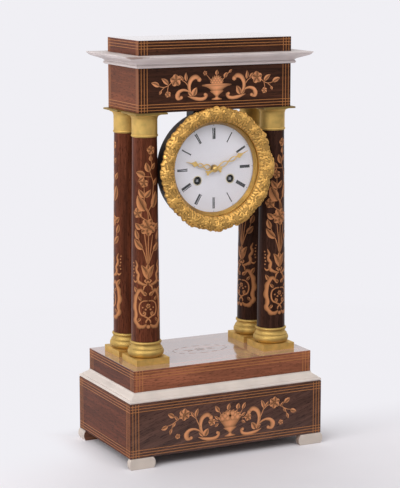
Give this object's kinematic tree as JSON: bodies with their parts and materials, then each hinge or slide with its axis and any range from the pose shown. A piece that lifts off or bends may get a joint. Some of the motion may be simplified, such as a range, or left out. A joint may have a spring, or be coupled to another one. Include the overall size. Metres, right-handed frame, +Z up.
{
  "type": "portico mantel clock",
  "caption": "Portico mantel clock: veneered case on turned columns over a stepped plinth, hanging drum with hinged gilt bezel, enamel dial, pierced hands and a spring movement striking a bell.",
  "frame": {"origin": "on the floor under the middle of the clock, between its feet", "axes": "X to the clock's right as seen from the front, Y to the back so that the dial looks to -Y, Z up"},
  "size_m": [0.251, 0.15, 0.48],
  "materials": {
    "rosewood": "French-polished rosewood veneer",
    "rosewood_side": "French-polished rosewood veneer, lighter cut",
    "cream_wood": "cream painted moulding, slightly worn",
    "bare_wood": "unfinished softwood",
    "gilt_brass": "gilt and burnished",
    "brass": "brushed brass",
    "steel": "blued and brushed steel",
    "black_iron": "blackened sheet",
    "black_wood": "blackened wood",
    "enamel": "white enamel with black numerals",
    "glass": "clear domed glass"
  },
  "bodies": {
    "case": {"feet": "cream_wood", "plinth_front_board": "rosewood", "plinth_back_board": "rosewood", "plinth_left_board": "rosewood_side", "plinth_right_board": "rosewood_side", "plinth_deck": "bare_wood", "plinth_moulding": "cream_wood", "plinth_step": "rosewood_side", "column_front_left": "rosewood", "column_front_right": "rosewood", "column_back_left": "rosewood", "column_back_right": "rosewood", "column_bases": "gilt_brass", "column_capitals": "gilt_brass", "column_rods": "steel", "rod_nuts": "steel", "entablature": "rosewood", "cornice": "cream_wood", "top_block": "rosewood", "hanger_block": "black_wood", "hanger_screws": "steel", "dial_collar": "black_iron", "drum_case": "brass", "hinge_bracket": "brass", "dial": "enamel", "winding_grommets": "brass", "front_plate": "brass", "back_plate": "brass", "plate_pillars": "brass", "pillar_nuts": "steel", "movement_screws": "steel", "bell": "brass", "bell_stand": "steel", "suspension_cock": "brass"},
    "bezel_door": {"bezel": "gilt_brass", "bezel_glass": "glass", "glass_ring": "gilt_brass", "hinge_pin": "steel"},
    "minute": {"centre_wheel": "brass", "cannon_pinion": "steel", "minute_hand": "gilt_brass", "hand_nut": "gilt_brass"},
    "hour": {"hour_wheel": "brass", "hour_hand": "gilt_brass"},
    "motion": {"minute_wheel": "brass"},
    "going_barrel_body": {"going_barrel": "brass"},
    "going_arbor_body": {"going_arbor": "steel"},
    "going_second": {"going_second_wheel": "brass"},
    "third": {"third_wheel": "brass"},
    "escape": {"escape_wheel": "brass"},
    "anchor_body": {"anchor": "steel", "crutch": "brass"},
    "strike_barrel_body": {"strike_barrel": "brass"},
    "strike_arbor_body": {"strike_arbor": "steel"},
    "strike_second": {"strike_second_wheel": "brass", "count_wheel": "brass"},
    "pin": {"pin_wheel": "brass"},
    "stop": {"stop_wheel": "brass"},
    "fly_body": {"fly": "brass"},
    "hammer_body": {"hammer": "steel"}
  },
  "joints": [
    {"name": "bezel_open", "type": "hinge", "parent": "case", "child": "bezel_door", "pos_m": [0.07, -0.044, 0.3318], "axis": [0, 0, 1], "range_deg": [0, 105]},
    {"name": "minute_spin", "type": "hinge", "parent": "case", "child": "minute", "pos_m": [0, 0, 0.3318], "axis": [0, 1, 0], "continuous": true},
    {"name": "hour_spin", "type": "hinge", "parent": "case", "child": "hour", "pos_m": [0, 0, 0.3318], "axis": [0, 1, 0], "continuous": true},
    {"name": "motion_spin", "type": "hinge", "parent": "case", "child": "motion", "pos_m": [0, 0, 0.315], "axis": [0, 1, 0], "continuous": true},
    {"name": "going_second_spin", "type": "hinge", "parent": "case", "child": "going_second", "pos_m": [0.00201, 0, 0.31809], "axis": [0, 1, 0], "continuous": true},
    {"name": "going_barrel_spin", "type": "hinge", "parent": "case", "child": "going_barrel_body", "pos_m": [0.0209, 0, 0.3188], "axis": [0, 1, 0], "continuous": true},
    {"name": "third_spin", "type": "hinge", "parent": "case", "child": "third", "pos_m": [0.00643, 0, 0.34295], "axis": [0, 1, 0], "continuous": true},
    {"name": "escape_spin", "type": "hinge", "parent": "case", "child": "escape", "pos_m": [0, 0, 0.35293], "axis": [0, 1, 0], "continuous": true},
    {"name": "going_wind", "type": "hinge", "parent": "case", "child": "going_arbor_body", "pos_m": [0.0209, 0, 0.3188], "axis": [0, 1, 0], "range_deg": [0, 1980]},
    {"name": "strike_wind", "type": "hinge", "parent": "case", "child": "strike_arbor_body", "pos_m": [-0.0209, 0, 0.3188], "axis": [0, 1, 0], "range_deg": [0, 1980]},
    {"name": "anchor_swing", "type": "hinge", "parent": "case", "child": "anchor_body", "pos_m": [0, 0, 0.36253], "axis": [0, 1, 0], "range_deg": [-3, 3]},
    {"name": "pin_spin", "type": "hinge", "parent": "case", "child": "pin", "pos_m": [-0.01762, 0, 0.35116], "axis": [0, 1, 0], "continuous": true},
    {"name": "strike_second_spin", "type": "hinge", "parent": "case", "child": "strike_second", "pos_m": [-0.02255, 0, 0.33763], "axis": [0, 1, 0], "continuous": true},
    {"name": "strike_barrel_spin", "type": "hinge", "parent": "case", "child": "strike_barrel_body", "pos_m": [-0.0209, 0, 0.3188], "axis": [0, 1, 0], "continuous": true},
    {"name": "stop_spin", "type": "hinge", "parent": "case", "child": "stop", "pos_m": [-0.00928, 0, 0.35816], "axis": [0, 1, 0], "continuous": true},
    {"name": "fly_spin", "type": "hinge", "parent": "case", "child": "fly_body", "pos_m": [-0.01373, 0, 0.36588], "axis": [0, 1, 0], "continuous": true},
    {"name": "hammer_lift", "type": "hinge", "parent": "case", "child": "hammer_body", "pos_m": [-0.0355, 0, 0.3458], "axis": [0, 1, 0], "range_deg": [0, 12]}
  ],
  "couplings": [
    {"joint": "hour_spin", "follows": "minute_spin", "ratio": 0.083333},
    {"joint": "motion_spin", "follows": "minute_spin", "ratio": -0.33333},
    {"joint": "going_second_spin", "follows": "minute_spin", "ratio": -0.16667},
    {"joint": "going_barrel_spin", "follows": "minute_spin", "ratio": 0.027778},
    {"joint": "third_spin", "follows": "minute_spin", "ratio": -12},
    {"joint": "escape_spin", "follows": "minute_spin", "ratio": 132},
    {"joint": "strike_second_spin", "follows": "pin_spin", "ratio": -0.11111},
    {"joint": "strike_barrel_spin", "follows": "pin_spin", "ratio": 0.018519},
    {"joint": "stop_spin", "follows": "pin_spin", "ratio": -10},
    {"joint": "fly_spin", "follows": "pin_spin", "ratio": 80}
  ]
}
